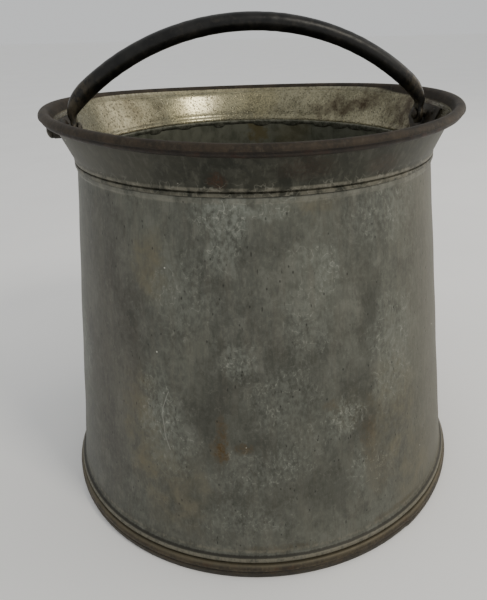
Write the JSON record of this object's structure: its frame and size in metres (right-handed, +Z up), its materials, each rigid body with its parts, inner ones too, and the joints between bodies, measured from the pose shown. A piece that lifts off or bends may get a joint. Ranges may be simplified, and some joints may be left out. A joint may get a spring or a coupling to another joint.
{
  "type": "milk pail",
  "caption": "Waisted sheet-metal milk pail with a flared collar, a wired rim, an iron foot hoop and a swinging iron bail.",
  "frame": {"origin": "centre of the foot on the ground", "axes": "+Z up, +X along the bail's pins to the right, -Y towards the side it is seen from"},
  "size_m": [0.33, 0.33, 0.3542],
  "materials": {
    "tinned_sheet": "dull oxidised tinned sheet",
    "collar_sheet": "dark oxidised tinned sheet",
    "solder": "dull grey solder",
    "hoop_iron": "brown rusted iron",
    "rim_iron": "brown rusted iron",
    "ear_iron": "dark iron",
    "bail_iron": "worn black iron"
  },
  "bodies": {
    "pail": {"body_shell": "tinned_sheet", "bottom_plate": "tinned_sheet", "collar": "collar_sheet", "bottom_solder": "solder", "neck_solder": "solder", "side_seam_solder": "solder", "foot_hoop": "hoop_iron", "rim_wire": "rim_iron", "ear_plate_left": "ear_iron", "ear_plate_right": "ear_iron", "bail_pin_left": "ear_iron", "bail_pin_right": "ear_iron", "pin_washer_left": "ear_iron", "pin_washer_right": "ear_iron", "ear_rivets": "ear_iron"},
    "bail": {"bail": "bail_iron"}
  },
  "joints": [
    {"name": "bail_swing", "type": "hinge", "parent": "pail", "child": "bail", "pos_m": [0, 0, 0.281], "axis": [1, 0, 0], "range_deg": [-95, 95]}
  ]
}
